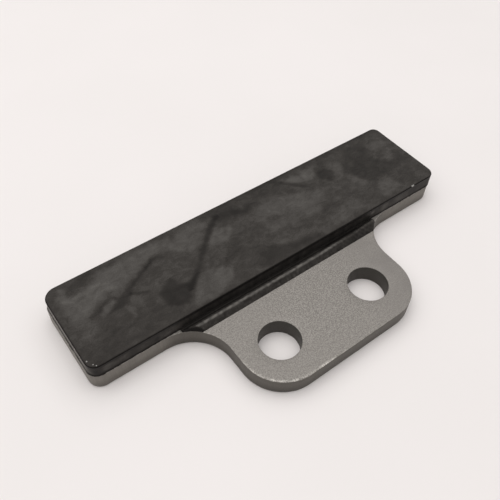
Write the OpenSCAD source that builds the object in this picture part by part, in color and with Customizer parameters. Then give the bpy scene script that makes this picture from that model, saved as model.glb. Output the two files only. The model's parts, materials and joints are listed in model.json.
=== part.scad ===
// Timing chain guide: a flat, blanked steel backing plate with two bolt holes in its tab,
// and a black slide pad moulded along its bar. The pad ends in a low lip that crosses the tab.
// Millimetres. The origin lies midway between the two holes, on the plate's underside.
// +X runs along the bar, +Y from the tab to the pad, +Z from the plate to the pad.

/* [Bolt holes] */
// Diameter of each bolt hole, clear of an M6 bolt
hole_diameter = 6.6; // [5:0.1:8.5]
// Distance between the two hole centres
hole_spacing = 18; // [14:0.5:20]

/* [Backing plate] */
// Thickness of the steel sheet
plate_thickness = 3.2; // [2:0.1:5]
// Width of the tab that holds the bolt holes
tab_width = 31.7; // [30:0.1:40]
// Distance from the middle of the holes to the middle of the tab, along the bar
tab_shift = 0.1; // [-0.5:0.05:0.5]
// Distance from the line of the holes to the tab's front edge
tab_front = 7.1; // [6:0.1:9]
// Radius of the tab's two front corners
tab_corner_radius = 7; // [4:0.1:7]
// Radius of the hollow where each side of the tab runs into the bar
tab_fillet_radius = 7; // [3:0.1:7]
// Distance from the line of the holes to the bar's near edge
bar_offset = 9.95; // [9.5:0.05:14]
// Length of the bar
bar_length = 69.7; // [64:0.1:90]
// Width of the bar
bar_width = 16.4; // [12:0.05:24]
// Radius of the bar's corners
bar_corner_radius = 2; // [1:0.1:4]
// Distance from the middle of the holes to the middle of the bar, along the bar
bar_shift = 0.25; // [-0.5:0.05:0.5]
// Bevel along the plate's upper edges and the rims of its bolt holes
edge_break = 0.1; // [0.05:0.05:0.4]
// Bevel along the plate's lower edges, where the die drew the steel in
die_roll = 0.3; // [0.05:0.05:0.6]

/* [Slide pad] */
// Height of the pad above the plate
pad_height = 2.4; // [1.5:0.1:5]
// Distance from the bar's edge to the pad's wall
pad_setback = 0.15; // [0.05:0.05:0.4]
// Radius of the pad's corners, seen from above
pad_corner_radius = 1.7; // [1:0.1:4]
// Radius along the pad's top edge
pad_edge_radius = 0.3; // [0.1:0.05:0.8]
// Distance by which the pad's right end reaches past the plate
pad_overhang = 0.25; // [0:0.05:0.4]

/* [Lip across the tab] */
// Distance from the pad's wall to the front of the lip, along the plate
lip_depth = 2.4; // [2:0.1:3]
// Height of the lip's crest above the plate
lip_height = 0.8; // [0.6:0.05:1.2]
// Angle of the lip's front face to the plate
lip_front_slope = 42; // [35:1:70]
// Angle of the lip's back face to the plate
lip_back_slope = 34; // [25:1:70]
// Angle of the lip's two end faces to the plate
lip_end_slope = 45; // [40:1:80]
// Radius of the lip's crest
lip_crest_radius = 0.25; // [0.1:0.05:0.4]
// Thickness of the web behind the lip, which joins it to the pad
web_thickness = 0.2; // [0.1:0.05:0.4]
// Length of the lip, end to end, where the hollows of the plate leave room for it
lip_length = 39.4; // [34:0.1:42]
// Distance from the middle of the holes to the middle of the lip, along the bar
lip_shift = -0.4; // [-0.5:0.05:0.5]

/* [Hidden] */
$fn = 64;

plate_colour = "#8f8b84";
pad_colour = "#3f3c39";

// How far pieces of one solid run into each other
joint_depth = 1;
// How far a cutter reaches past the surface that it cuts
cut_margin = 1;

bar_centre_y = bar_offset + bar_width / 2;
fillet_centre_x = tab_width / 2 + tab_fillet_radius;
fillet_centre_y = bar_offset - tab_fillet_radius;
tab_length = tab_front + bar_offset + joint_depth + tab_corner_radius;
tab_centre_y = tab_length / 2 - tab_front;

pad_left = bar_shift - bar_length / 2 + pad_setback;
pad_right = bar_shift + bar_length / 2 + pad_overhang;
pad_length = pad_right - pad_left;
pad_width = bar_width - 2 * pad_setback;
pad_wall_y = bar_offset + pad_setback;

// Section of the plate with bevelled edges, standing on its base
module plate_section(half_width) {
    polygon([
        [-half_width, die_roll],
        [-half_width + die_roll, 0],
        [half_width - die_roll, 0],
        [half_width, die_roll],
        [half_width, plate_thickness - edge_break],
        [half_width - edge_break, plate_thickness],
        [-half_width + edge_break, plate_thickness],
        [-half_width, plate_thickness - edge_break],
    ]);
}

// Section of a slab with a flat base and rounded top edges
module crowned_section(half_width, height, round_radius) {
    translate([-half_width, 0])
        square([2 * half_width, height - round_radius]);
    translate([-half_width + round_radius, 0])
        square([2 * (half_width - round_radius), height]);
    for (side = [-1, 1])
        translate([side * (half_width - round_radius), height - round_radius])
            circle(round_radius);
}

// The half of a section that lies on the positive side, for turning about the height
module right_half(half_width, height) {
    intersection() {
        children();
        square([half_width, height]);
    }
}

// Children: the section across the length, the section across the width, the section of a corner
module rounded_slab(length, width, corner_radius) {
    rotate([90, 0, 90])
        linear_extrude(length - 2 * corner_radius, center = true)
            children(0);
    rotate([90, 0, 0])
        linear_extrude(width - 2 * corner_radius, center = true)
            children(1);
    for (side_x = [-1, 1], side_y = [-1, 1])
        translate([side_x * (length / 2 - corner_radius), side_y * (width / 2 - corner_radius), 0])
            rotate_extrude()
                children(2);
}

// Flat plate with round corners and bevelled edges
module bevelled_plate(length, width, corner_radius) {
    rounded_slab(length, width, corner_radius) {
        plate_section(width / 2);
        plate_section(length / 2);
        right_half(corner_radius, plate_thickness)
            plate_section(corner_radius);
    }
}

// Round cutter through the plate that leaves bevelled rims
module bevelled_hole(radius, lower_bevel) {
    translate([0, 0, -cut_margin])
        cylinder(h = plate_thickness + 2 * cut_margin, r = radius);
    translate([0, 0, -lower_bevel])
        cylinder(h = 2 * lower_bevel, r1 = radius + 2 * lower_bevel, r2 = radius);
    translate([0, 0, plate_thickness - edge_break])
        cylinder(h = 2 * edge_break, r1 = radius, r2 = radius + 2 * edge_break);
}

// Web of plate that fills the inner corner between the tab's side and the bar
module tab_fillet() {
    difference() {
        translate([tab_width / 2 - joint_depth, fillet_centre_y, 0])
            cube([tab_fillet_radius + joint_depth, tab_fillet_radius + joint_depth, plate_thickness]);
        translate([fillet_centre_x, fillet_centre_y, 0])
            bevelled_hole(tab_fillet_radius, die_roll);
    }
}

// Blanked steel plate: the bar, the tab and the hollows between them, with the bolt holes
module backing_plate() {
    color(plate_colour)
        difference() {
            union() {
                translate([bar_shift, bar_centre_y, 0])
                    bevelled_plate(bar_length, bar_width, bar_corner_radius);
                translate([tab_shift, 0, 0]) {
                    translate([0, tab_centre_y, 0])
                        bevelled_plate(tab_width, tab_length, tab_corner_radius);
                    tab_fillet();
                    mirror([1, 0, 0])
                        tab_fillet();
                }
            }
            for (side = [-1, 1])
                translate([side * hole_spacing / 2, 0, 0])
                    bevelled_hole(hole_diameter / 2, edge_break);
        }
}

// Section of the lip. Along the first axis 0 is the pad's wall, and the lip lies on the minus side.
module lip_section() {
    crest_z = lip_height - lip_crest_radius;
    crest_y = crest_z / tan(lip_front_slope) + lip_crest_radius / sin(lip_front_slope) - lip_depth;
    back_foot_y = crest_y + crest_z / tan(lip_back_slope) + lip_crest_radius / sin(lip_back_slope);
    translate([crest_y, crest_z])
        circle(lip_crest_radius);
    polygon([
        [-lip_depth, 0],
        [
            crest_y - lip_crest_radius * sin(lip_front_slope),
            crest_z + lip_crest_radius * cos(lip_front_slope),
        ],
        [crest_y, crest_z],
        [
            crest_y + lip_crest_radius * sin(lip_back_slope),
            crest_z + lip_crest_radius * cos(lip_back_slope),
        ],
        [back_foot_y, 0],
    ]);
    translate([crest_y, 0])
        square([joint_depth - crest_y, web_thickness]);
}

// Lip across the tab, with ends that slope down to the hollows of the plate
module lip() {
    foot_radius = tab_fillet_radius + edge_break;
    difference() {
        translate([lip_shift, pad_wall_y, plate_thickness])
            rotate([90, 0, 90])
                linear_extrude(lip_length, center = true)
                    lip_section();
        for (side = [-1, 1])
            translate([
                tab_shift + side * fillet_centre_x,
                fillet_centre_y,
                plate_thickness - cut_margin,
            ])
                cylinder(
                    h = lip_height + 2 * cut_margin,
                    r1 = foot_radius - cut_margin / tan(lip_end_slope),
                    r2 = foot_radius + (lip_height + cut_margin) / tan(lip_end_slope)
                );
    }
}

// Moulded pad that the chain slides on, one piece with its lip
module slide_pad() {
    color(pad_colour) {
        translate([pad_left + pad_length / 2, pad_wall_y + pad_width / 2, plate_thickness])
            rounded_slab(pad_length, pad_width, pad_corner_radius) {
                crowned_section(pad_width / 2, pad_height, pad_edge_radius);
                crowned_section(pad_length / 2, pad_height, pad_edge_radius);
                right_half(pad_corner_radius, pad_height)
                    crowned_section(pad_corner_radius, pad_height, pad_edge_radius);
            }
        lip();
    }
}

backing_plate();
slide_pad();
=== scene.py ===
"""Dresses the timing chain guide: a blasted steel plate with a moulded black slide pad."""
import json
import math

import bmesh
import bpy
import numpy as np
from mathutils import Matrix, Vector, noise
from mathutils.geometry import delaunay_2d_cdt


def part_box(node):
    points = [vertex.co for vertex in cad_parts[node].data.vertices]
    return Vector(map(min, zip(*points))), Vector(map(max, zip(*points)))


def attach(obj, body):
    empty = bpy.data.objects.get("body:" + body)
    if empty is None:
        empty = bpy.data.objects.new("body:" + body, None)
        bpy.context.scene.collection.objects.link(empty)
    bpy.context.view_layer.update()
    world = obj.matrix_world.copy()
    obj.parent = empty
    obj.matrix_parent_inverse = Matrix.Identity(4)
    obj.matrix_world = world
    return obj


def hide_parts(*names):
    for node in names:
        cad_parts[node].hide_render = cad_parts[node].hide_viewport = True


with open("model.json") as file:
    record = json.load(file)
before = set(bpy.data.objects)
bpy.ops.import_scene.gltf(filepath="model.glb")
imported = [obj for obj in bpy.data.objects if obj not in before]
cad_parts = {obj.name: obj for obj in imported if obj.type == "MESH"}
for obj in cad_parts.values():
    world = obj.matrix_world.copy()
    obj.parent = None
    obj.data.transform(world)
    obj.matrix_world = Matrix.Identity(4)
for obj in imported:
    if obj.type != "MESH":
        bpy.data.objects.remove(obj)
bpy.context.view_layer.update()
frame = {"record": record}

# Units: shapes are worked out in millimetres and scaled to metres when a mesh is made.
MM = 0.001

# Plate, from the frame and the drawing
PLATE_LOW, PLATE_HIGH = (Vector(corner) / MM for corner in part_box("backing_plate"))
PLATE_TOP = PLATE_HIGH.z
TAB_HALF_WIDTH = 15.85
TAB_SHIFT = 0.1
TAB_CORNER_RADIUS = 7.0
TAB_FILLET_RADIUS = 7.0
BAR_NEAR = 9.95
BAR_CORNER_RADIUS = 2.0
EDGE_BREAK = 0.1
DIE_ROLL = 0.3
FILLET_CENTRE = Vector((TAB_HALF_WIDTH + TAB_FILLET_RADIUS, BAR_NEAR - TAB_FILLET_RADIUS))

# Holes, from the record's bolt pattern
BOLTS = next(mount for mount in frame["record"]["mounts"] if mount["name"] == "bolt_holes")
HOLE_RADIUS = BOLTS["dims"]["hole_r_mm"]
HOLE_CENTRES = [Vector((side * BOLTS["dims"]["spacing_x_mm"] / 2, 0.0)) for side in (-1, 1)]

# Pad, from the frame and the drawing
PAD_LOW, PAD_HIGH = (Vector(corner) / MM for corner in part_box("slide_pad"))
PAD_TOP = PAD_HIGH.z
PAD_WALL = BAR_NEAR + 0.15
PAD_CORNER_RADII = {"near right": 1.7, "far right": 1.3, "far left": 2.1, "near left": 1.7}
PAD_EDGE_RADIUS = 0.3

# Lip across the tab, from the drawing
LIP_DEPTH = PAD_WALL - PAD_LOW.y
LIP_HEIGHT = 0.8
LIP_FRONT_SLOPE = math.radians(42)
LIP_BACK_SLOPE = math.radians(34)
LIP_CREST_RADIUS = 0.25
LIP_LEFT, LIP_RIGHT = -20.1, 19.3
WEB_THICKNESS = 0.2
WEB_BLEND = 0.04

# Mesh fineness
EDGE_STEP = 0.3
PAD_GRID = 0.3
PLATE_GRID = 1.2


def wave(x, y, layer=0.0, size=1.0):
    """Smooth noise from about -1 to 1 over a size in millimetres. The layer picks one of many."""
    return noise.noise(Vector((x / size, y / size, layer)))


def waves(points, layer, size):
    """Smooth noise at each of many points."""
    return np.array([wave(x, y, layer, size) for x, y in points[:, :2].tolist()])


def smooth_step(low, high, value):
    """Rises smoothly from zero to one between two values, for one number or an array."""
    t = np.clip((value - low) / (high - low), 0.0, 1.0)
    return t * t * (3 - 2 * t)


def smooth_min(a, b, blend):
    """The smaller of two values, with the corner between them rounded."""
    share = min(max(0.5 + 0.5 * (b - a) / blend, 0.0), 1.0)
    return b + (a - b) * share - blend * share * (1 - share)


# Outlines

def arc(centre, radius, start, end, hollow=False):
    """Points and outward normals along an arc. A hollow arc curves into the piece."""
    count = max(4, round(abs(math.radians(end - start)) * radius / EDGE_STEP))
    points = []
    for k in range(count + 1):
        angle = math.radians(start + (end - start) * k / count)
        ray = Vector((math.cos(angle), math.sin(angle)))
        points.append((Vector(centre) + radius * ray, -ray if hollow else ray))
    return points


def closed_outline(arcs):
    """Joins arcs in order with straight runs, each cut into short steps."""
    outline = []
    for k, points in enumerate(arcs):
        outline += points
        (start, normal), end = points[-1], arcs[(k + 1) % len(arcs)][0][0]
        count = max(1, round((end - start).length / EDGE_STEP))
        outline += [(start.lerp(end, j / count), normal) for j in range(1, count)]
    return outline


def plate_outline():
    """Points and outward normals round the plate: the tab, its hollows and the bar."""
    corner_x = TAB_HALF_WIDTH - TAB_CORNER_RADIUS
    corner_y = PLATE_LOW.y + TAB_CORNER_RADIUS
    fillet_x, fillet_y = FILLET_CENTRE
    left, right = PLATE_LOW.x + BAR_CORNER_RADIUS, PLATE_HIGH.x - BAR_CORNER_RADIUS
    near, far = BAR_NEAR + BAR_CORNER_RADIUS, PLATE_HIGH.y - BAR_CORNER_RADIUS
    return closed_outline([
        arc((TAB_SHIFT + corner_x, corner_y), TAB_CORNER_RADIUS, -90, 0),
        arc((TAB_SHIFT + fillet_x, fillet_y), TAB_FILLET_RADIUS, 180, 90, hollow=True),
        arc((right, near), BAR_CORNER_RADIUS, -90, 0),
        arc((right, far), BAR_CORNER_RADIUS, 0, 90),
        arc((left, far), BAR_CORNER_RADIUS, 90, 180),
        arc((left, near), BAR_CORNER_RADIUS, 180, 270),
        arc((TAB_SHIFT - fillet_x, fillet_y), TAB_FILLET_RADIUS, 90, 0, hollow=True),
        arc((TAB_SHIFT - corner_x, corner_y), TAB_CORNER_RADIUS, 180, 270),
    ])


def pad_outline():
    """Points and outward normals round the pad, whose corners differ a little."""
    arcs, start = [], -90
    for corner, radius in PAD_CORNER_RADII.items():
        x = PAD_HIGH.x - radius if "right" in corner else PAD_LOW.x + radius
        y = PAD_HIGH.y - radius if "far" in corner else PAD_WALL + radius
        arcs.append(arc((x, y), radius, start, start + 90))
        start += 90
    return closed_outline(arcs)


# Mesh building

def add_ring(bm, points):
    """New corner points of the mesh, in order."""
    return [bm.verts.new(point) for point in points]


def bridge(bm, lower, upper):
    """Faces between two rings of the same length."""
    count = len(lower)
    for k in range(count):
        after = (k + 1) % count
        bm.faces.new((lower[k], lower[after], upper[after], upper[k]))


def cap(bm, rings, height, spacing, facing_up, holes=()):
    """Closes the space inside the first ring with a net of triangles, and leaves the holes open."""
    border = [vert for ring in rings for vert in ring]
    flat = np.array([vert.co.xy for vert in border])
    low, high = flat.min(axis=0), flat.max(axis=0)
    inner = []
    for x in np.arange(low[0] + spacing, high[0], spacing):
        for y in np.arange(low[1] + spacing, high[1], spacing):
            if np.hypot(*(flat - (x, y)).T).min() > spacing * 0.6:
                inner.append((float(x), float(y)))
    edges, first = [], 0
    for ring in rings:
        edges += [(first + k, first + (k + 1) % len(ring)) for k in range(len(ring))]
        first += len(ring)
    seeds = [Vector(point) for point in flat.tolist()] + [Vector(point) for point in inner]
    inside_constraints = 1
    coords, _, faces, origins, _, _ = delaunay_2d_cdt(seeds, edges, [], inside_constraints, 1e-5)
    verts = {}

    def vert(index):
        if index not in verts:
            origin = origins[index][0]
            if origin < len(border):
                verts[index] = border[origin]
            else:
                x, y = coords[index]
                verts[index] = bm.verts.new((x, y, height(x, y)))
        return verts[index]

    for face in faces:
        centre = sum((coords[index] for index in face), Vector((0, 0))) / len(face)
        if any((centre - hole).length < HOLE_RADIUS for hole in holes):
            continue
        corners = [vert(index) for index in face]
        bm.faces.new(corners if facing_up else corners[::-1])


def finish_mesh(bm, name, sharp_angle=40):
    """Makes the object in metres, with smooth faces but for sharp edges."""
    bmesh.ops.remove_doubles(bm, verts=bm.verts, dist=1e-4)
    bmesh.ops.recalc_face_normals(bm, faces=bm.faces)
    bmesh.ops.scale(bm, vec=(MM, MM, MM), verts=bm.verts)
    mesh = bpy.data.meshes.new(name)
    bm.to_mesh(mesh)
    bm.free()
    mesh.shade_smooth()
    mesh.set_sharp_from_angle(angle=math.radians(sharp_angle))
    piece = bpy.data.objects.new(name, mesh)
    bpy.context.collection.objects.link(piece)
    return piece


def paint(piece, name, values):
    """Stores one number per corner point, worked out from the points' places in millimetres."""
    mesh = piece.data
    places = np.empty(len(mesh.vertices) * 3)
    mesh.vertices.foreach_get("co", places)
    attribute = mesh.attributes.new(name, "FLOAT", "POINT")
    attribute.data.foreach_set("value", values(places.reshape(-1, 3) / MM))


# Plate

# The blanking left the worst burr round the tab's front left corner
BURR_CENTRE = Vector((-10.5, -6.0))
BURR_REACH = 8.0
# Depth of the chips along a plain edge, and how much deeper they are at the burr
CHIP_DEPTH = 0.03
BURR_DEPTH = 0.19


def burr(points):
    """One where the top edge is burred, and zero far from there."""
    away = np.hypot(points[:, 0] - BURR_CENTRE.x, points[:, 1] - BURR_CENTRE.y)
    return 1 - smooth_step(0.5, 1.2, away / BURR_REACH)


def nicks(points):
    """How far the plate's top edge is chipped away at each point, in millimetres."""
    rough = waves(points, 3.0, 0.8) + 0.6 * waves(points, 7.0, 0.35)
    return (CHIP_DEPTH + BURR_DEPTH * burr(points)) * np.maximum(rough, 0.0)


def build_plate():
    """The plate: a wall of rings round its outline, two bores, and a face below and above."""
    bm = bmesh.new()
    outline = plate_outline()
    chips = nicks(np.array([point for point, _ in outline])).tolist()
    # Inset and height of each ring, with the share of the chip that moves it inward and down
    rolls = [
        (DIE_ROLL, 0.0, 0.0, 0.0),
        (DIE_ROLL * 0.62, DIE_ROLL * 0.08, 0.0, 0.0),
        (DIE_ROLL * 0.29, DIE_ROLL * 0.29, 0.0, 0.0),
        (DIE_ROLL * 0.08, DIE_ROLL * 0.62, 0.0, 0.0),
        (0.0, DIE_ROLL, 0.0, 0.0),
        (0.0, PLATE_TOP * 0.35, 0.0, 0.0),
        (0.0, PLATE_TOP * 0.7, 0.0, 0.0),
        (0.0, PLATE_TOP - 0.13, 0.2, 0.5),
        (0.015, PLATE_TOP - 0.06, 0.6, 0.7),
        (0.05, PLATE_TOP - 0.02, 1.0, 0.4),
        (0.12, PLATE_TOP - 0.006, 1.0, 0.0),
        (0.45, PLATE_TOP, 0.5, 0.0),
    ]
    rings = []
    for inset, height, inward, down in rolls:
        ring = []
        for (point, normal), chip in zip(outline, chips):
            spot = point - (inset + inward * chip) * normal
            ring.append((spot.x, spot.y, height - down * chip))
        rings.append(add_ring(bm, ring))
    for lower, upper in zip(rings, rings[1:]):
        bridge(bm, lower, upper)
    # Outset and height of each ring of a bore
    bore = [
        (EDGE_BREAK, 0.0),
        (EDGE_BREAK * 0.3, EDGE_BREAK * 0.3),
        (0.0, EDGE_BREAK),
        (0.0, PLATE_TOP / 2),
        (0.0, PLATE_TOP - EDGE_BREAK),
        (EDGE_BREAK * 0.3, PLATE_TOP - EDGE_BREAK * 0.3),
        (EDGE_BREAK, PLATE_TOP),
    ]
    low_rims, high_rims = [], []
    for centre in HOLE_CENTRES:
        circle = arc(centre, HOLE_RADIUS, 0, 360)[:-1]
        hole = []
        for outset, height in bore:
            hole.append(add_ring(bm, [(*(point + outset * ray), height) for point, ray in circle]))
        for lower, upper in zip(hole, hole[1:]):
            bridge(bm, upper, lower)
        low_rims.append(hole[0])
        high_rims.append(hole[-1])
    bottom, top = [rings[0], *low_rims], [rings[-1], *high_rims]
    cap(bm, bottom, lambda x, y: 0.0, PLATE_GRID, facing_up=False, holes=HOLE_CENTRES)
    cap(bm, top, lambda x, y: PLATE_TOP, PLATE_GRID, facing_up=True, holes=HOLE_CENTRES)
    return finish_mesh(bm, "plate_blanked", sharp_angle=60)


def bare_and_highlit_edge(places):
    """How pale the rolled top edge is painted: bare metal at the burr, and elsewhere a painted highlight
    where the rounded edge catches the light; most at the burr, little elsewhere, zero off the edge.
    """
    below_top = PLATE_TOP - places[:, 2]
    on_edge = (below_top < 0.25) & (below_top > 0.01)
    on_rim = (below_top <= 0.01) & (below_top > 0.003)
    from_hole = np.min([np.hypot(*(places[:, :2] - hole).T) for hole in HOLE_CENTRES], axis=0)
    patchy = smooth_step(-0.3, 0.4, waves(places, 31.0, 1.1))
    burred = burr(places) * (0.3 + 0.7 * patchy)
    # The plain edge's share is a painted highlight; the burred share is bare metal
    bare_and_highlit = on_edge * (0.08 + 0.2 * patchy + 0.72 * burred) + on_rim * 0.9 * burred
    return np.where(from_hole < HOLE_RADIUS + 0.5, 0.12 * on_edge, bare_and_highlit)


# Pad

# Depth of the broad and the fine unevenness of the pad's face and of its walls
FACE_SINK, FACE_FINE_SINK = 0.012, 0.004
WALL_RIPPLE = 0.015
# Spread and height of the skin of rubber at the pad's foot
FLASH_SPREAD = 0.09
FLASH_HEIGHT = 0.26
# Heights of the rings of the pad's wall, as shares of the wall, and the steps of its rounded edge
WALL_SHARES = (0.2, 0.35, 0.5, 0.65, 0.8, 0.9, 1.0)
EDGE_TURNS = 6


def sink(x, y):
    """Depth of the slight unevenness of the pad's face."""
    return FACE_SINK * (1 + wave(x, y, 1.0, 3.0)) + FACE_FINE_SINK * (1 + wave(x, y, 2.0, 0.9))


def flash(point):
    """A thin uneven skin of rubber spreads over the plate's edge, but for the pad's right end."""
    x, y = point
    spread = FLASH_SPREAD + 0.06 * wave(x, y, 5.0, 0.6) + 0.04 * wave(x, y, 8.0, 0.25)
    return -spread * float(1 - smooth_step(PAD_HIGH.x - 2.0, PAD_HIGH.x - 1.0, x))


def ripple(point):
    """How far the pad's uneven wall lies behind its outline."""
    x, y = point
    return WALL_RIPPLE * (1 + wave(x, y, 6.0, 1.5)) + WALL_RIPPLE * (1 + wave(x, y, 4.0, 0.5))


def build_slab():
    """The pad without its lip: a wall of rings, a rounded edge, and a face below and above."""
    bm = bmesh.new()
    outline = pad_outline()
    wall_top = PAD_TOP - PAD_EDGE_RADIUS
    # Inset and height of each ring
    levels = [
        (lambda point: 0.1, PLATE_TOP),
        (flash, PLATE_TOP - 0.02),
        (lambda point: 0.8 * flash(point), PLATE_TOP + 0.05),
        (ripple, PLATE_TOP + FLASH_HEIGHT),
    ]
    levels += [(ripple, PLATE_TOP + share * (wall_top - PLATE_TOP)) for share in WALL_SHARES]
    for k in range(1, EDGE_TURNS + 1):
        angle = math.pi / 2 * k / EDGE_TURNS
        inset = PAD_EDGE_RADIUS * (1 - math.cos(angle))
        levels.append((lambda point, inset=inset: inset, wall_top + PAD_EDGE_RADIUS * math.sin(angle)))
    rings = []
    for inset, height in levels:
        ring = []
        for point, normal in outline:
            spot = point - inset(point) * normal
            drop = sink(*spot) if height > wall_top else 0.0
            ring.append((spot.x, spot.y, height - drop))
        rings.append(add_ring(bm, ring))
    for lower, upper in zip(rings, rings[1:]):
        bridge(bm, lower, upper)
    cap(bm, [rings[0]], lambda x, y: PLATE_TOP, PLATE_GRID, facing_up=False)
    cap(bm, [rings[-1]], lambda x, y: PAD_TOP - sink(x, y), PAD_GRID, facing_up=True)
    return finish_mesh(bm, "pad_moulded")


# Lip

# Distance from the lip's front to the middle of its crest
LIP_CREST_BACK = ((LIP_HEIGHT - LIP_CREST_RADIUS) / math.tan(LIP_FRONT_SLOPE)
                  + LIP_CREST_RADIUS / math.sin(LIP_FRONT_SLOPE))


def broadened(u, x):
    """Moves the lip's crest back towards its right end, where the lip is a broad bead."""
    growth = 1 + 0.15 * smooth_step(6.5, 9.0, x) + 0.35 * smooth_step(13.0, 18.0, x)
    back = u + LIP_DEPTH
    crest = LIP_CREST_BACK * growth
    if back < crest:
        return back / growth - LIP_DEPTH
    behind = (back - crest) * (LIP_DEPTH - LIP_CREST_BACK) / (LIP_DEPTH - crest)
    return LIP_CREST_BACK + behind - LIP_DEPTH


def ridge(u):
    """Height of the lip over the plate at a distance from the pad's wall, negative in front of it."""
    crest_z = LIP_HEIGHT - LIP_CREST_RADIUS
    crest_u = LIP_CREST_BACK - LIP_DEPTH
    back_foot = (crest_u + crest_z / math.tan(LIP_BACK_SLOPE)
                 + LIP_CREST_RADIUS / math.sin(LIP_BACK_SLOPE))
    if u < crest_u - LIP_CREST_RADIUS * math.sin(LIP_FRONT_SLOPE):
        return (u + LIP_DEPTH) * math.tan(LIP_FRONT_SLOPE)
    if u < crest_u + LIP_CREST_RADIUS * math.sin(LIP_BACK_SLOPE):
        return crest_z + math.sqrt(LIP_CREST_RADIUS ** 2 - (u - crest_u) ** 2)
    slope = (back_foot - u) * math.tan(LIP_BACK_SLOPE)
    return -smooth_min(-slope, -WEB_THICKNESS, WEB_BLEND)


# Height of the low wall at the lip's ends, and how softly the end faces run into the lip
END_WALL = 0.22
END_BLEND = 0.2
# Distance from the plate's hollow to the lip's foot
HOLLOW_MARGIN = 0.03
# Rise of the lip's end faces: the left one is a long bevel, the right one is steep
LEFT_RISE, RIGHT_RISE = 1.0, 1.8


def lip_ends(y):
    """Ends of the lip's foot, which the plate's hollows or the lip's own length set."""
    hollow = TAB_FILLET_RADIUS + HOLLOW_MARGIN
    across = y - FILLET_CENTRE.y
    if across >= hollow:
        return LIP_LEFT, LIP_RIGHT
    reach = FILLET_CENTRE.x - math.sqrt(hollow ** 2 - across ** 2)
    return max(TAB_SHIFT - reach, LIP_LEFT), min(TAB_SHIFT + reach, LIP_RIGHT)


def end_height(x, y):
    """Height of the sloped end face of the lip, which follows the plate's hollow."""
    across = Vector((abs(x - TAB_SHIFT), y)) - FILLET_CENTRE
    from_hollow = across.length - TAB_FILLET_RADIUS - HOLLOW_MARGIN
    rise = RIGHT_RISE if x > 0 else LEFT_RISE
    return END_WALL + rise * min(from_hollow, x - LIP_LEFT, LIP_RIGHT - x)


# Columns along the lip, and rows across it: from, to and how many, closest at the crest
LIP_COLUMNS = 320
LIP_ROWS = [(-LIP_DEPTH, -1.7, 12), (-1.7, -1.2, 14), (-1.2, 0.0, 18)]
# How far the lip runs on inside the pad, and how far its base is lifted there
LIP_ROOT = 0.4
LIP_ROOT_LIFT = 0.08
# How far the lip's ends run down over the plate's rolled edge
LIP_END_DROP = 0.04


def build_lip():
    """The lip as a closed skin: a field of heights over the plate and a level base."""
    bm = bmesh.new()
    columns = LIP_COLUMNS
    rows = [np.linspace(front, back, count, endpoint=False) for front, back, count in LIP_ROWS]
    depths = np.concatenate([*rows, np.linspace(0.0, LIP_ROOT, 3)])
    upper, lower = [], []
    for u in depths.tolist():
        y = PAD_WALL + u
        left, right = lip_ends(y)
        above, below = [], []
        for k in range(columns + 1):
            # Columns crowd towards both ends
            even = 2 * k / columns - 1
            share = 0.6 * even + 0.4 * math.sin(math.pi / 2 * even)
            x = left + (right - left) * (1 + share) / 2
            height = smooth_min(ridge(broadened(u, x)), end_height(x, y), END_BLEND)
            height *= 1 + 0.05 * wave(x, u, 9.0, 0.9) + 0.03 * wave(x, u, 12.0, 0.35)
            height = min(max(height, 0.0), LIP_HEIGHT)
            foot = 0.03 * max(wave(x, 0.0, 15.0, 0.7), 0.0) if u == depths[0] else 0.0
            above.append(bm.verts.new((x, y + foot, PLATE_TOP + height)))
            if u == depths[0] and height < 1e-3:
                below.append(above[-1])
            else:
                drop = LIP_END_DROP if k in (0, columns) else 0.0
                base = PLATE_TOP + LIP_ROOT_LIFT if u > 0.01 else PLATE_TOP - drop
                below.append(bm.verts.new((x, y + foot, base)))
        upper.append(above)
        lower.append(below)
    for i in range(len(depths) - 1):
        for k in range(columns):
            bm.faces.new((upper[i][k], upper[i][k + 1], upper[i + 1][k + 1], upper[i + 1][k]))
            bm.faces.new((lower[i][k], lower[i + 1][k], lower[i + 1][k + 1], lower[i][k + 1]))
        for k in (0, columns):
            corners = (upper[i][k], upper[i + 1][k], lower[i + 1][k], lower[i][k])
            bm.faces.new(list(dict.fromkeys(corners)))
    for k in range(columns):
        bm.faces.new((upper[-1][k], upper[-1][k + 1], lower[-1][k + 1], lower[-1][k]))
    return finish_mesh(bm, "pad_lip", sharp_angle=60)


def fuse(piece, other):
    """Joins two closed meshes into one."""
    join = piece.modifiers.new("join", "BOOLEAN")
    join.operation = "UNION"
    join.solver = "EXACT"
    join.object = other
    evaluated = piece.evaluated_get(bpy.context.evaluated_depsgraph_get())
    mesh = bpy.data.meshes.new_from_object(evaluated)
    piece.modifiers.clear()
    piece.data = mesh
    bpy.data.objects.remove(other)


# Marks on the pad's face, in millimetres. A line has a course and a width.
# A shape has corners and a soft edge. The depth says how strong the mark is.

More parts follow.
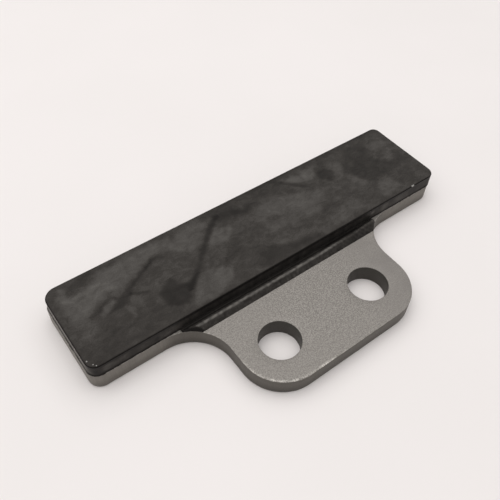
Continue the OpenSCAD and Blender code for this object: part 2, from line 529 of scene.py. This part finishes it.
DARK_LINES = [
    # Tail, spur and companion line of the left stroke
    {"width": 0.35, "depth": 0.5,
     "course": [(-19.0, 21.6), (-17.4, 22.2), (-16.0, 22.1)]},
    {"width": 0.24, "depth": 0.7,
     "course": [(-23.5, 18.3), (-22.4, 17.9), (-21.2, 17.3)]},
    {"width": 0.25, "depth": 0.55,
     "course": [(-30.2, 17.8), (-28.9, 18.2), (-27.8, 18.9), (-26.9, 19.3), (-26.1, 19.3),
                (-25.7, 18.9)]},
    # Long stroke from the leaf to the far edge, and its bend there
    {"width": 0.46, "depth": 0.92,
     "course": [(-15.4, 14.0), (-13.5, 15.6), (-12.1, 16.8), (-10.8, 18.2), (-9.4, 19.6), (-7.8, 21.0),
                (-6.1, 22.6), (-5.0, 23.5), (-3.8, 24.1)]},
    {"width": 0.6, "depth": 0.45,
     "course": [(-2.6, 23.9), (-1.5, 23.4), (0.9, 22.4), (3.0, 22.8)]},
    # Short strokes in the middle and by the far edge
    {"width": 0.2, "depth": 0.6,
     "course": [(-8.9, 14.4), (-7.4, 15.8), (-6.0, 17.2)]},
    {"width": 0.3, "depth": 0.6,
     "course": [(10.2, 24.3), (11.4, 23.0), (13.2, 21.2)]},
    {"width": 0.4, "depth": 0.4,
     "course": [(0.0, 22.0), (1.2, 22.6), (2.6, 23.4)]},
]
DARK_SHAPES = [
    # Left stroke
    {"edge": 0.28, "depth": 1.0,
     "corners": [(-28.1, 16.9), (-26.9, 17.6), (-25.8, 18.2), (-24.6, 19.0), (-23.4, 19.4),
                 (-21.1, 20.5), (-18.9, 21.8), (-17.4, 22.4), (-18.8, 21.1), (-21.4, 19.9),
                 (-22.8, 19.1), (-23.5, 18.0), (-24.4, 17.3), (-25.7, 17.0), (-27.1, 16.9)]},
    # Leaf, and the foot of the long stroke that runs into it
    {"edge": 0.4, "depth": 0.98,
     "corners": [(-20.1, 15.8), (-18.6, 17.0), (-17.0, 17.3), (-16.3, 16.9), (-16.6, 15.8),
                 (-15.4, 15.1), (-15.3, 13.8), (-17.0, 11.8), (-18.2, 12.1), (-19.9, 13.2)]},
    {"edge": 0.3, "depth": 0.45,
     "corners": [(-12.8, 16.1), (-14.4, 15.7), (-15.8, 15.2), (-15.6, 13.4), (-14.4, 14.4),
                 (-13.0, 15.6)]},
    # Band by the far left corner, and the dull near left part
    {"edge": 0.35, "depth": 0.48,
     "corners": [(-30.8, 24.1), (-30.4, 24.6), (-29.5, 24.8), (-27.6, 25.6), (-25.0, 26.2),
                 (-24.6, 25.9), (-27.2, 24.7), (-29.0, 23.8), (-30.3, 23.5)]},
    {"edge": 1.1, "depth": 0.35,
     "corners": [(-34.2, 13.8), (-27.0, 15.6), (-22.0, 14.6), (-20.0, 12.6), (-21.0, 10.8),
                 (-34.0, 10.4)]},
    # Patches in the middle
    {"edge": 0.6, "depth": 0.75,
     "corners": [(-5.0, 25.8), (-4.6, 23.4), (-3.2, 22.3), (-0.6, 21.8), (0.6, 23.0), (-0.4, 25.8)]},
    {"edge": 0.7, "depth": 0.7,
     "corners": [(-4.4, 11.4), (-2.6, 13.8), (0.4, 13.6), (3.0, 12.0), (8.0, 11.5), (8.4, 10.4),
                 (-4.4, 10.4)]},
    {"edge": 0.6, "depth": 0.45,
     "corners": [(3.4, 25.8), (4.0, 23.2), (8.0, 23.0), (10.2, 23.6), (10.4, 25.8)]},
    {"edge": 0.7, "depth": 0.5,
     "corners": [(-7.4, 15.2), (-4.6, 18.8), (-2.9, 19.2), (-3.6, 16.6), (-6.4, 14.8)]},
    # Spot near the far edge, and the dark right part
    {"edge": 0.35, "depth": 0.9,
     "corners": [(16.5, 21.0), (18.3, 19.6), (20.1, 21.4), (19.2, 22.5), (17.3, 22.7)]},
    {"edge": 0.5, "depth": 0.4,
     "corners": [(17.6, 22.4), (19.2, 22.4), (20.4, 24.6), (19.0, 24.9)]},
    {"edge": 0.8, "depth": 0.7,
     "corners": [(21.8, 20.0), (24.4, 23.4), (25.6, 24.8), (29.8, 23.8), (28.6, 19.4), (31.6, 16.8),
                 (34.2, 19.0), (33.8, 16.2), (25.0, 15.1), (23.0, 17.2)]},
]
PALE_SHAPES = [
    # Pale left part
    {"edge": 0.8, "depth": 1.1,
     "corners": [(-25.6, 24.6), (-17.6, 25.2), (-13.0, 25.0), (-12.6, 21.4), (-15.6, 22.9),
                 (-19.2, 22.4), (-21.3, 21.1), (-23.8, 20.0), (-25.6, 19.9), (-25.6, 22.6)]},
    {"edge": 0.9, "depth": 1.15,
     "corners": [(-33.0, 24.0), (-31.4, 23.0), (-29.4, 23.0), (-26.0, 23.8), (-25.0, 20.8),
                 (-30.0, 18.8), (-33.0, 17.8)]},
    {"edge": 0.35, "depth": 0.8,
     "corners": [(-33.0, 24.0), (-32.0, 25.2), (-31.3, 24.9), (-31.6, 23.2), (-31.0, 21.8),
                 (-32.2, 22.4)]},
    # Pale ground beside the left stroke
    {"edge": 0.25, "depth": 0.8,
     "corners": [(-28.9, 17.5), (-28.0, 18.3), (-26.9, 18.9), (-26.0, 18.6), (-25.9, 18.1), (-27.1, 17.4),
                 (-28.2, 17.2)]},
    {"edge": 0.6, "depth": 0.45,
     "corners": [(-32.0, 18.0), (-30.4, 17.4), (-29.6, 16.6), (-31.4, 14.2), (-33.4, 14.4)]},
    {"edge": 0.3, "depth": 0.9,
     "corners": [(-25.1, 16.8), (-24.4, 16.0), (-24.5, 14.4), (-25.0, 14.3), (-25.2, 15.9)]},
    # Pale ground beside the leaf and the long stroke
    {"edge": 0.4, "depth": 0.85,
     "corners": [(-17.0, 11.0), (-13.0, 15.2), (-10.4, 15.4), (-7.8, 13.8), (-8.6, 12.2), (-12.0, 10.7)]},
    {"edge": 0.7, "depth": 0.85,
     "corners": [(-13.2, 21.0), (-12.0, 24.6), (-7.0, 25.2), (-6.2, 23.6), (-9.4, 20.6), (-11.6, 19.8)]},
    {"edge": 0.4, "depth": 0.95,
     "corners": [(-8.4, 20.0), (-5.4, 22.4), (-3.0, 20.2), (-5.0, 19.0), (-7.2, 18.8)]},
    # Pale patches of the middle and the right part
    {"edge": 0.8, "depth": 0.85,
     "corners": [(0.6, 20.6), (2.6, 22.2), (7.5, 22.0), (11.2, 20.4), (15.2, 18.8), (14.0, 17.4),
                 (11.2, 16.4), (7.4, 18.6), (1.4, 18.4)]},
    {"edge": 0.35, "depth": 0.85,
     "corners": [(11.2, 24.2), (12.8, 24.8), (14.4, 23.7), (13.8, 22.4), (12.6, 22.6)]},
    {"edge": 0.35, "depth": 1.3,
     "corners": [(14.4, 23.6), (15.8, 24.4), (17.9, 24.5), (16.6, 22.6), (15.6, 21.8), (14.2, 22.4)]},
    {"edge": 0.8, "depth": 0.6,
     "corners": [(1.6, 17.6), (8.0, 17.4), (12.6, 16.2), (11.4, 14.8), (6.0, 15.0), (1.8, 15.8)]},
    {"edge": 0.5, "depth": 0.6,
     "corners": [(20.2, 22.8), (22.8, 22.8), (21.6, 19.8), (23.6, 15.8), (22.4, 15.0), (20.4, 18.8)]},
    {"edge": 0.5, "depth": 0.7,
     "corners": [(29.7, 22.8), (33.4, 22.9), (33.9, 22.0), (30.4, 20.8)]},
    {"edge": 0.45, "depth": 0.7,
     "corners": [(29.4, 18.7), (31.8, 20.0), (33.0, 19.2), (31.0, 17.8)]},
    {"edge": 0.5, "depth": 0.75,
     "corners": [(22.8, 11.8), (25.0, 14.6), (27.8, 14.2), (27.6, 11.8), (24.4, 10.8)]},
    {"edge": 0.8, "depth": 0.6,
     "corners": [(10.4, 12.2), (17.0, 14.6), (19.2, 13.4), (18.4, 11.6), (12.0, 11.0)]},
    {"edge": 0.7, "depth": 0.4,
     "corners": [(1.0, 14.4), (3.4, 15.0), (8.4, 12.8), (8.0, 11.4), (1.6, 13.0)]},
]


def chain_distance(points, course):
    """Distance from each point to a chain of straight runs."""
    nearest = np.full(len(points), np.inf)
    for start, end in zip(np.array(course[:-1]), np.array(course[1:])):
        run = end - start
        share = np.clip((points - start) @ run / (run @ run), 0.0, 1.0)
        away = points - start - share[:, None] * run
        nearest = np.minimum(nearest, np.hypot(*away.T))
    return nearest


def inside_depth(points, corners):
    """Distance from each point to a closed shape's border, negative outside the shape."""
    ring = corners + corners[:1]
    inside = np.zeros(len(points), dtype=bool)
    for (ax, ay), (bx, by) in zip(ring, ring[1:]):
        spans = (points[:, 1] < ay) != (points[:, 1] < by)
        crossing = ax + (points[:, 1] - ay) * (bx - ax) / (by - ay) if by != ay else ax
        inside ^= spans & (points[:, 0] < crossing)
    return np.where(inside, 1, -1) * chain_distance(points, ring)


def shape_cover(points, mark):
    """How strongly a shape marks each point."""
    inside = inside_depth(points, mark["corners"])
    return mark["depth"] * smooth_step(-mark["edge"], mark["edge"], inside)


def line_cover(points, mark):
    """How strongly a line marks each point."""
    away = chain_distance(points, mark["course"]) / mark["width"]
    return mark["depth"] * (1 - smooth_step(0.4, 1.6, away))


# Paleness of the plain face, and how much the marks take away or add
FACE_PLAIN = 0.52
PALE_SHAPE_GAIN = 0.28
DARK_SHAPE_LOSS = 0.34
DARK_LINE_LOSS = 0.36
FAR_EDGE_LOSS = 0.2


def face_bloom(places):
    """Paleness of the pad's face: 0.5 is plain, less is dark and more is pale."""
    points = places[:, :2]
    # Noise bends the borders of the marks and lets the lines waver
    bend = np.column_stack([waves(places, 11.0, 1.8), waves(places, 17.0, 1.8)])
    shake = np.column_stack([waves(places, 13.0, 0.7), waves(places, 19.0, 0.7)])
    bent = points + 0.25 * bend + 0.12 * shake
    waver = points + 0.15 * bend + 0.22 * shake
    value = FACE_PLAIN + 0.1 * waves(places, 21.0, 4.0) + 0.07 * waves(places, 23.0, 1.3)
    along, across = points[:, 0], points[:, 1]
    value -= FAR_EDGE_LOSS * smooth_step(24.8, 25.8, across) * smooth_step(-4.0, 0.0, along)
    value += PALE_SHAPE_GAIN * sum(shape_cover(bent, mark) for mark in PALE_SHAPES)
    value -= DARK_SHAPE_LOSS * sum(shape_cover(bent, mark) for mark in DARK_SHAPES)
    value -= DARK_LINE_LOSS * sum(line_cover(waver, mark) for mark in DARK_LINES)
    return np.clip(value, 0.02, 1.0)


# Paleness of the groove behind the lip
GROOVE_BLACK = 0.02


def lip_paleness_and_painted_light(places):
    """Paleness of the lip and the groove behind it: scuffed on its front, with a painted highlight along
    the crest, painted shade at the left end and a faint painted highlight line in the groove.
    """
    x, y = places[:, 0], places[:, 1]
    height = places[:, 2] - PLATE_TOP
    # The crest's paleness is a painted highlight, where the rounded crest catches the overhead light; it
    # fades towards the right
    crest = smooth_step(LIP_HEIGHT - 0.22, LIP_HEIGHT - 0.03, height)
    uneven = 0.55 + 0.45 * smooth_step(-0.4, 0.5, waves(places, 41.0, 0.7))
    fading = 1 - 0.7 * smooth_step(8.0, 14.0, x)
    plain = 0.42 - 0.1 * smooth_step(6.0, 9.0, x) - 0.1 * smooth_step(11.0, 13.5, x)
    scuffed_and_highlit = plain + 0.28 * waves(places, 43.0, 0.45) + crest * uneven * fading
    # Near the left hollow the lip is painted black, a painted shade for its shadowed end
    hollow_x = TAB_SHIFT - FILLET_CENTRE.x
    from_hollow = np.hypot(x - hollow_x, y - FILLET_CENTRE.y) - TAB_FILLET_RADIUS
    off_shaded_left_end = smooth_step(0.25, 0.6, from_hollow)
    # A faint painted highlight line runs along the groove, but for a stretch on the right
    groove_highlight_reach = 1 - smooth_step(7.0, 9.0, x) + smooth_step(15.0, 16.5, x)
    groove_highlight = 0.36 * groove_highlight_reach * np.exp(-((y - PAD_WALL + 0.36) / 0.09) ** 2)
    return np.where(y < PAD_WALL - 0.7, scuffed_and_highlit * off_shaded_left_end, GROOVE_BLACK + groove_highlight)


# Blots on the pad's near wall: place along the bar, height over the plate, size and strength. The dark
# ones are painted shadows in small pits of the wall, the pale ones are pale patches.
WALL_BLOTS_AND_PIT_SHADOWS = [
    (-33.6, 1.0, 0.7, -0.35),
    (-31.7, 1.1, 1.2, 0.3),
    (-29.6, 1.3, 0.8, 0.25),
    (-26.2, 1.0, 0.6, 0.2),
    (-23.9, 0.9, 0.6, -0.35),
    (-22.2, 0.8, 0.5, 0.35),
    (19.6, 1.3, 0.45, 0.7),
    (20.8, 1.5, 0.6, -0.4),
    (22.6, 1.2, 1.0, 0.5),
    (24.1, 1.7, 0.4, -0.4),
    (26.5, 1.2, 1.6, 0.6),
    (29.7, 1.2, 0.9, -0.3),
]


def wall_paleness_and_painted_light(places):
    """The pad's walls: a dark grey standing in for the pale floor's reflection, paler at the left end as
    painted light, with painted shadows in small pits, black at the foot and along the rounded edge, where
    the dark room is reflected.
    """
    height = places[:, 2]
    lit_left_end = 1 - smooth_step(PAD_LOW.x + 0.1, PAD_LOW.x + 0.5, places[:, 0])
    clear_of_foot = smooth_step(PLATE_TOP + 0.1, PLATE_TOP + 0.4, height)
    # Black along the rounded edge, a painted dark reflection of the room
    clear_of_edge = 1 - smooth_step(PAD_TOP - 0.75, PAD_TOP - 0.4, height)
    on_near_wall = places[:, 1] < PAD_WALL + 0.6
    # The plain grey is a painted reflection of the pale floor; the left end is painted paler still,
    # painted light for the brighter, grazing light on that end
    plain = 0.36 + 0.45 * lit_left_end
    for x, rise, size, strength in WALL_BLOTS_AND_PIT_SHADOWS:
        away = np.hypot(places[:, 0] - x, height - PLATE_TOP - rise) / size
        plain = plain + strength * np.exp(-away ** 2) * on_near_wall
    uneven = 0.15 * waves(places, 45.0, 1.2) + 0.15 * waves(places, 47.0, 0.5)
    return np.maximum(clear_of_foot * clear_of_edge * (plain + uneven), 0.0)


def bloom_and_painted_light(places):
    """Paleness of the rubber all over: the pad's face, its walls and the lip, with painted light and
    shade on the walls and the lip.
    """
    on_face = smooth_step(PAD_TOP - 0.1, PAD_TOP - 0.012, places[:, 2])
    on_pad = np.where(on_face > 0, on_face * face_bloom(places), wall_paleness_and_painted_light(places))
    return np.where(places[:, 1] < PAD_WALL - 0.25, lip_paleness_and_painted_light(places), on_pad)


# Materials

class Nodes:
    """Short calls for building one material's nodes."""

    def __init__(self, name):
        self.material = bpy.data.materials.new(name)
        self.material.use_nodes = True
        self.tree = self.material.node_tree
        self.shader = self.tree.nodes["Principled BSDF"]

    def node(self, kind, **settings):
        """A new node with the given settings."""
        made = self.tree.nodes.new(kind)
        for key, value in settings.items():
            setattr(made, key, value)
        return made

    def link(self, source, socket):
        """Joins another node's socket, or sets a plain value."""
        if isinstance(source, bpy.types.NodeSocket):
            self.tree.links.new(source, socket)
        else:
            socket.default_value = source

    def place(self):
        """Object coordinates in millimetres."""
        coords = self.node("ShaderNodeTexCoord")
        scale = self.node("ShaderNodeVectorMath", operation="SCALE")
        self.link(coords.outputs["Object"], scale.inputs[0])
        scale.inputs["Scale"].default_value = 1 / MM
        return scale.outputs[0]

    def stretched(self, vector, factors):
        """Coordinates times one factor for each axis."""
        made = self.node("ShaderNodeVectorMath", operation="MULTIPLY")
        self.link(vector, made.inputs[0])
        made.inputs[1].default_value = factors
        return made.outputs[0]

    def turned(self, vector, degrees, stretch):
        """Coordinates turned about the upright axis and stretched along the turned first axis."""
        made = self.node("ShaderNodeMapping")
        self.link(vector, made.inputs["Vector"])
        made.inputs["Rotation"].default_value = (0.0, 0.0, -math.radians(degrees))
        made.inputs["Scale"].default_value = (1 / stretch, 1.0, 1.0)
        return made.outputs[0]

    def noise(self, vector, size, detail=3.0, roughness=0.5, distortion=0.0):
        """Noise from zero to one over a size in millimetres."""
        made = self.node("ShaderNodeTexNoise")
        self.link(vector, made.inputs["Vector"])
        made.inputs["Scale"].default_value = 1 / size
        made.inputs["Detail"].default_value = detail
        made.inputs["Roughness"].default_value = roughness
        made.inputs["Distortion"].default_value = distortion
        return made.outputs["Fac"]

    def range(self, value, low, high, to_low=0.0, to_high=1.0, smooth=False):
        """Maps a value from one range to another, and holds it there."""
        made = self.node("ShaderNodeMapRange")
        if smooth:
            made.interpolation_type = "SMOOTHSTEP"
        for socket, given in zip(made.inputs, (value, low, high, to_low, to_high)):
            self.link(given, socket)
        return made.outputs[0]

    def math(self, operation, a, b=0.0):
        """One sum on two values."""
        made = self.node("ShaderNodeMath", operation=operation)
        self.link(a, made.inputs[0])
        self.link(b, made.inputs[1])
        return made.outputs[0]

    def attribute(self, name):
        """A number painted on the mesh."""
        return self.node("ShaderNodeAttribute", attribute_name=name).outputs["Fac"]

    def axis(self, vector, index):
        """One coordinate of a vector."""
        made = self.node("ShaderNodeSeparateXYZ")
        self.link(vector, made.inputs[0])
        return made.outputs[index]

    def distance(self, vector, point):
        """Distance to a fixed point."""
        made = self.node("ShaderNodeVectorMath", operation="DISTANCE")
        self.link(vector, made.inputs[0])
        made.inputs[1].default_value = point
        return made.outputs["Value"]

    def facing_up(self):
        """Upward share of the surface's own normal."""
        return self.axis(self.node("ShaderNodeNewGeometry").outputs["True Normal"], 2)

    def mix(self, share, a, b):
        """Colour between two others."""
        made = self.node("ShaderNodeMix", data_type="RGBA")
        self.link(share, made.inputs["Factor"])
        self.link((*a, 1.0) if isinstance(a, tuple) else a, made.inputs[6])
        self.link((*b, 1.0) if isinstance(b, tuple) else b, made.inputs[7])
        return made.outputs[2]

    def bump(self, height, depth, strength=1.0):
        """Fine relief of the surface, with its depth in millimetres."""
        made = self.node("ShaderNodeBump")
        self.link(height, made.inputs["Height"])
        made.inputs["Distance"].default_value = depth * MM
        made.inputs["Strength"].default_value = strength
        self.link(made.outputs[0], self.shader.inputs["Normal"])


STEEL_PALE = (0.285, 0.264, 0.240)
STEEL_DULL = (0.165, 0.151, 0.135)
STEEL_WARM = (0.190, 0.174, 0.160)
# Pale edge colour, for bare metal at the burr and for the painted highlight along the rolled edge
STEEL_EDGE_BARE_AND_HIGHLIT = (0.74, 0.70, 0.64)
WALL_PALE = (0.200, 0.184, 0.163)
WALL_DULL = (0.118, 0.107, 0.091)
TAB_WALL = (0.086, 0.077, 0.066)
TAB_FOOT = (0.050, 0.045, 0.038)
BORE_DULL = (0.052, 0.047, 0.040)
# Where the blasted grain is crispest
TAB_MIDDLE = (1.0, 3.5, PLATE_TOP)


def steel():
    """Blasted sheet: fine grain on the faces, and a sheared wall, smooth above and torn below."""
    n = Nodes("blasted_steel")
    place = n.place()
    grain = n.noise(place, 0.19, 2.0, 0.7)
    cloud = n.noise(place, 6.0, 3.0)
    # The grain is worn smoother away from the tab's middle
    worn = n.distance(place, TAB_MIDDLE)
    darkest = n.range(worn, 4.0, 13.0, 0.42, 0.32, smooth=True)
    palest = n.range(worn, 4.0, 13.0, 0.58, 0.68, smooth=True)
    face = n.mix(n.range(grain, darkest, palest), STEEL_DULL, STEEL_PALE)
    # The face is warmer and duller towards the right. Along the rolled top edge it is paler: bare metal
    # at the burr, and elsewhere a painted highlight where the rounded edge catches the light
    warm = n.range(n.axis(place, 0), 4.0, 16.0, 0.0, 0.9, smooth=True)
    face = n.mix(n.math("MULTIPLY", warm, n.range(cloud, 0.35, 0.65)), face, STEEL_WARM)
    bare_and_highlit = n.math("MULTIPLY", n.attribute("edge"), n.range(grain, 0.35, 0.6))
    face = n.mix(bare_and_highlit, face, STEEL_EDGE_BARE_AND_HIGHLIT)
    # The wall is streaked, and torn and dull towards its foot. Less of the dull foot is laid on at the
    # left end, painted light for the brighter light falling on that end
    streaks = n.noise(n.stretched(place, (1.0, 1.0, 0.18)), 0.35, 3.0)
    depth = n.math("ADD", n.axis(place, 2), n.math("MULTIPLY", cloud, 0.8))
    torn = n.range(depth, 2.6, 0.8, 0.0, 0.75, smooth=True)
    wall = n.mix(n.range(streaks, 0.35, 0.65, 0.0, 0.35), WALL_PALE, WALL_DULL)
    off_lit_left_end = n.range(n.axis(place, 0), PLATE_LOW.x + 0.1, PLATE_LOW.x + 0.8, 0.3, 1.0)
    wall = n.mix(n.math("MULTIPLY", torn, off_lit_left_end), wall, WALL_DULL)
    # The tab's walls and the bores are darker
    on_tab = n.range(n.math("ABSOLUTE", n.axis(place, 0)), 24.0, 20.0, 0.0, 0.75, smooth=True)
    wall = n.mix(on_tab, wall, n.mix(torn, TAB_WALL, TAB_FOOT))
    for hole in HOLE_CENTRES:
        flat = n.stretched(place, (1.0, 1.0, 0.0))
        away = n.distance(flat, (*hole, 0.0))
        inside = n.range(away, HOLE_RADIUS + 0.1, HOLE_RADIUS + 0.3, 0.8, 0.0)
        wall = n.mix(inside, wall, BORE_DULL)
    up = n.range(n.math("ABSOLUTE", n.facing_up()), 0.25, 0.8, smooth=True)
    n.link(n.mix(up, wall, face), n.shader.inputs["Base Color"])
    n.link(n.range(grain, 0.3, 0.7, 0.66, 0.5), n.shader.inputs["Roughness"])
    n.shader.inputs["Metallic"].default_value = 0.35
    n.bump(grain, 0.03, 0.6)
    return n.material


RUBBER_BLACK = (0.0060, 0.0054, 0.0052)
RUBBER_PLAIN = (0.038, 0.0345, 0.0312)
RUBBER_PALE = (0.092, 0.086, 0.079)
RUBBER_DUST = (0.150, 0.139, 0.126)
RUBBER_SHEEN = (1.0, 0.9, 0.82, 1.0)
SPECK = (0.32, 0.31, 0.29)
# Place and radius of each pale speck
SPECKS = [
    ((-34.0, 11.8, PAD_TOP), 0.14),
    ((-33.5, 10.85, PAD_TOP), 0.11),
    ((-33.2, 10.45, PAD_TOP), 0.11),
    ((29.3, PAD_WALL + 0.1, PAD_TOP - 0.1), 0.24),
    ((29.6, PAD_WALL + 0.12, PAD_TOP - 0.09), 0.2),
]


def rubber():
    """Moulded rubber: black, with a pale bloom on its face, painted light, shade and reflections on its
    walls and lip, and a fine uneven skin.
    """
    n = Nodes("moulded_rubber")
    place = n.place()
    flow = n.noise(n.turned(place, 42, 1.6), 1.0, 4.0, 0.6, 0.6)
    skin = n.noise(place, 0.2, 3.0, 0.6)
    painted = n.attribute("bloom_and_painted_light")
    # Flow marks and the skin stir the painted bloom and painted light, but not where it is black
    stir = n.math("ADD", n.range(flow, 0.3, 0.7, -0.15, 0.15), n.range(skin, 0.3, 0.7, -0.1, 0.1))
    on_face = n.range(painted, 0.0, 0.4)
    tone = n.math("ADD", painted, n.math("MULTIPLY", stir, on_face))
    low = n.mix(n.range(tone, 0.0, 0.5), RUBBER_BLACK, RUBBER_PLAIN)
    colour = n.mix(n.range(tone, 0.5, 1.0), low, RUBBER_PALE)
    colour = n.mix(n.range(tone, 1.0, 1.5), colour, RUBBER_DUST)
    for centre, radius in SPECKS:
        spot = n.range(n.distance(place, centre), radius * 0.5, radius, 1.0, 0.0)
        colour = n.mix(spot, colour, SPECK)
    n.link(colour, n.shader.inputs["Base Color"])
    n.link(n.range(tone, 0.0, 0.8, 0.42, 0.6), n.shader.inputs["Roughness"])
    n.shader.inputs["Specular IOR Level"].default_value = 0.11
    n.shader.inputs["Sheen Weight"].default_value = 0.45
    n.shader.inputs["Sheen Roughness"].default_value = 0.15
    n.shader.inputs["Sheen Tint"].default_value = RUBBER_SHEEN
    n.shader.inputs["Specular Tint"].default_value = RUBBER_SHEEN
    n.bump(n.math("ADD", flow, n.math("MULTIPLY", skin, 0.6)), 0.03, 0.5)
    return n.material


FLOOR_COLOUR = (0.875, 0.828, 0.805)
FLOOR_SHADE = (0.86, 0.815, 0.79)


def paper():
    """Pale, matt tabletop with a faint unevenness."""
    n = Nodes("pale_table")
    cloud = n.noise(n.place(), 40.0, 2.0)
    colour = n.mix(n.range(cloud, 0.35, 0.65), FLOOR_COLOUR, FLOOR_SHADE)
    n.link(colour, n.shader.inputs["Base Color"])
    n.shader.inputs["Roughness"].default_value = 0.9
    n.shader.inputs["Specular IOR Level"].default_value = 0.2
    return n.material


# Pieces

plate = build_plate()
plate.data.materials.append(steel())
# The edge attribute holds bare metal at the burr and a painted highlight along the rolled edge
paint(plate, "edge", bare_and_highlit_edge)
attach(plate, "root")
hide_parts("backing_plate")

pad = build_slab()
fuse(pad, build_lip())
pad.data.materials.clear()
pad.data.materials.append(rubber())
# The bloom attribute holds the face's bloom, and painted highlights, shade and reflections on the lip and
# walls
paint(pad, "bloom_and_painted_light", bloom_and_painted_light)
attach(pad, "root")
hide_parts("slide_pad")

# Stage, lights and camera

FLOOR_SIZE = 3.0
bpy.ops.mesh.primitive_plane_add(size=FLOOR_SIZE)
floor = bpy.context.object
floor.name = "floor"
floor.data.materials.append(paper())

# Where the photograph was taken from, in millimetres and degrees
EYE = Vector((-41.95, -32.77, 78.78))
HEADING = 38.82
PITCH = 50.09
ROLL = 2.88
FOCAL_PIXELS = 591.624
PICTURE_PIXELS = 500


def place_camera():
    """The camera at the photograph's place and angle."""
    data = bpy.data.cameras.new("camera")
    data.sensor_fit = "HORIZONTAL"
    data.lens = data.sensor_width * FOCAL_PIXELS / PICTURE_PIXELS
    data.clip_start = 0.005
    camera = bpy.data.objects.new("camera", data)
    bpy.context.collection.objects.link(camera)
    turn = Matrix.Rotation(-math.radians(HEADING), 4, "Z")
    tilt = Matrix.Rotation(math.radians(90 - PITCH), 4, "X")
    roll = Matrix.Rotation(math.radians(ROLL), 4, "Z")
    camera.matrix_world = Matrix.Translation(EYE * MM) @ turn @ tilt @ roll
    bpy.context.scene.camera = camera


place_camera()

# Lamps overhead, in metres and watts: a broad softbox and a smaller key light below it
SOFTBOX = {"size": (1.5, 1.1), "place": (-0.12, 0.17, 0.62), "power": 4.75}
KEY = {"size": (0.4, 0.4), "place": (-0.02, 0.09, 0.55), "power": 0.69}


def hang_lamp(name, lamp):
    """A flat lamp that shines straight down."""
    data = bpy.data.lights.new(name, "AREA")
    data.shape = "RECTANGLE"
    data.size, data.size_y = lamp["size"]
    data.energy = lamp["power"]
    made = bpy.data.objects.new(name, data)
    made.location = lamp["place"]
    bpy.context.collection.objects.link(made)


hang_lamp("softbox", SOFTBOX)
hang_lamp("key", KEY)

ROOM_LEVEL = 0.35
ROOM_COLOUR = (0.98, 0.98, 1.0, 1.0)
BACKDROP_COLOUR = (0.66, 0.65, 0.64, 1.0)


def light_room():
    """Dim grey room, pale where the camera or a mirror image shows what is past the table."""
    world = bpy.data.worlds.new("room")
    world.use_nodes = True
    bpy.context.scene.world = world
    tree = world.node_tree
    room = tree.nodes["Background"]
    room.inputs["Color"].default_value = ROOM_COLOUR
    room.inputs["Strength"].default_value = ROOM_LEVEL
    backdrop = tree.nodes.new("ShaderNodeBackground")
    backdrop.inputs["Color"].default_value = BACKDROP_COLOUR
    rays = tree.nodes.new("ShaderNodeLightPath")
    choice = tree.nodes.new("ShaderNodeMixShader")
    seen = rays.outputs["Is Camera Ray"]
    for kind in ("Is Glossy Ray", "Is Transmission Ray"):
        total = tree.nodes.new("ShaderNodeMath")
        total.operation = "MAXIMUM"
        tree.links.new(seen, total.inputs[0])
        tree.links.new(rays.outputs[kind], total.inputs[1])
        seen = total.outputs[0]
    tree.links.new(seen, choice.inputs[0])
    tree.links.new(room.outputs[0], choice.inputs[1])
    tree.links.new(backdrop.outputs[0], choice.inputs[2])
    tree.links.new(choice.outputs[0], tree.nodes["World Output"].inputs[0])


light_room()
bpy.context.scene.view_settings.view_transform = "Standard"
